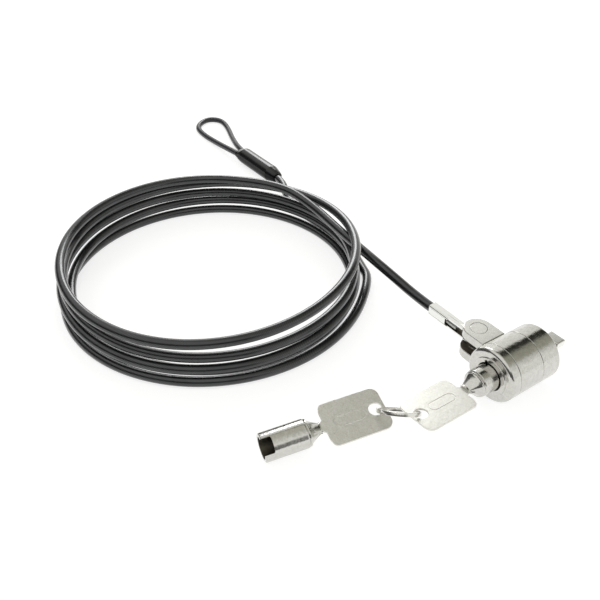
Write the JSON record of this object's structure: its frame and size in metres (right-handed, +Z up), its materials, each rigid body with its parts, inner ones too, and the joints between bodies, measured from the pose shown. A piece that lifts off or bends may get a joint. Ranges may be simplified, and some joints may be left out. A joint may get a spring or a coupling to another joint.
{
  "type": "laptop cable lock",
  "caption": "Swivelling cylinder lock head with a T-bar nose on a coiled vinyl-covered steel cable with an anchor loop, and tubular keys on a split ring",
  "frame": {"origin": "middle of the nose's seat face, on the lock axis, where the head bears against the slotted equipment", "axes": "+Y along the lock axis out of the nose, +Z up from the surface that everything lies on, the cable leaves the head towards -X"},
  "size_m": [0.2803, 0.1539, 0.0229],
  "materials": {
    "nickel": "nickel plate, bright satin",
    "housing_steel": "turned steel",
    "pin_steel": "hardened steel pin",
    "turned_steel": "turned steel",
    "brass": "turned brass",
    "spring_steel": "spring wire",
    "bright_strap": "bright nickel plate on folded strap",
    "rope_steel": "bare galvanised rope",
    "jacket": "black smoked vinyl, glossy",
    "loop_jacket": "black smoked vinyl, glossy",
    "moulded_sleeve": "black moulded vinyl, glossy",
    "ferrule_metal": "plain pressed ferrule",
    "key_steel": "stamped steel, satin nickel plate",
    "ring_steel": "nickel plated split ring"
  },
  "bodies": {
    "cable": {"cable_fitting": "bright_strap", "rope_end": "rope_steel", "cable_lead": "jacket", "cable_coil": "jacket", "cable_tail": "jacket", "cable_loop": "loop_jacket", "loop_sleeve": "moulded_sleeve", "loop_ferrule": "ferrule_metal"},
    "collar": {"swivel_collar": "nickel", "rivet": "nickel"},
    "head": {"front_cap": "nickel", "rear_sleeve": "nickel", "lock_housing": "housing_steel", "nose_bush": "nickel", "anti_rotation_pins": "pin_steel", "driver_block": "brass", "block_pin": "pin_steel", "driver_pins": "brass", "tumbler_springs": "spring_steel"},
    "plug": {"spindle": "turned_steel", "t_bar": "nickel", "drive_pin": "pin_steel", "key_pins": "brass"},
    "key": {"key_barrel": "nickel", "key_bow": "key_steel"},
    "ring": {"key_ring": "ring_steel"},
    "spare_key": {"spare_key_barrel": "nickel", "spare_key_bow": "key_steel"}
  },
  "joints": [
    {"name": "fitting_pivot", "type": "hinge", "parent": "cable", "child": "collar", "pos_m": [-0.0164, -0.01905, 0], "axis": [0, 0, 1], "range_deg": [-10, 90]},
    {"name": "head_swivel", "type": "hinge", "parent": "collar", "child": "head", "pos_m": [0, -0.01905, 0], "axis": [0, 1, 0], "continuous": true},
    {"name": "key_turn", "type": "hinge", "parent": "head", "child": "plug", "pos_m": [0, -0.0205, 0], "axis": [0, 1, 0], "range_deg": [0, 90]},
    {"name": "key_slide", "type": "slide", "parent": "plug", "child": "key", "axis": [0, -1, 0], "range_m": [0, 0.011]},
    {"name": "ring_turn", "type": "hinge", "parent": "key", "child": "ring", "pos_m": [-0.00586, -0.0663, -0.00116], "axis": [-0.4733, 0.4053, 0.7821], "range_deg": [-15, 15]},
    {"name": "spare_key_slide", "type": "hinge", "parent": "ring", "child": "spare_key", "pos_m": [-0.00586, -0.0663, -0.00116], "axis": [-0.4733, 0.4053, 0.7821], "range_deg": [-15, 15]}
  ]
}
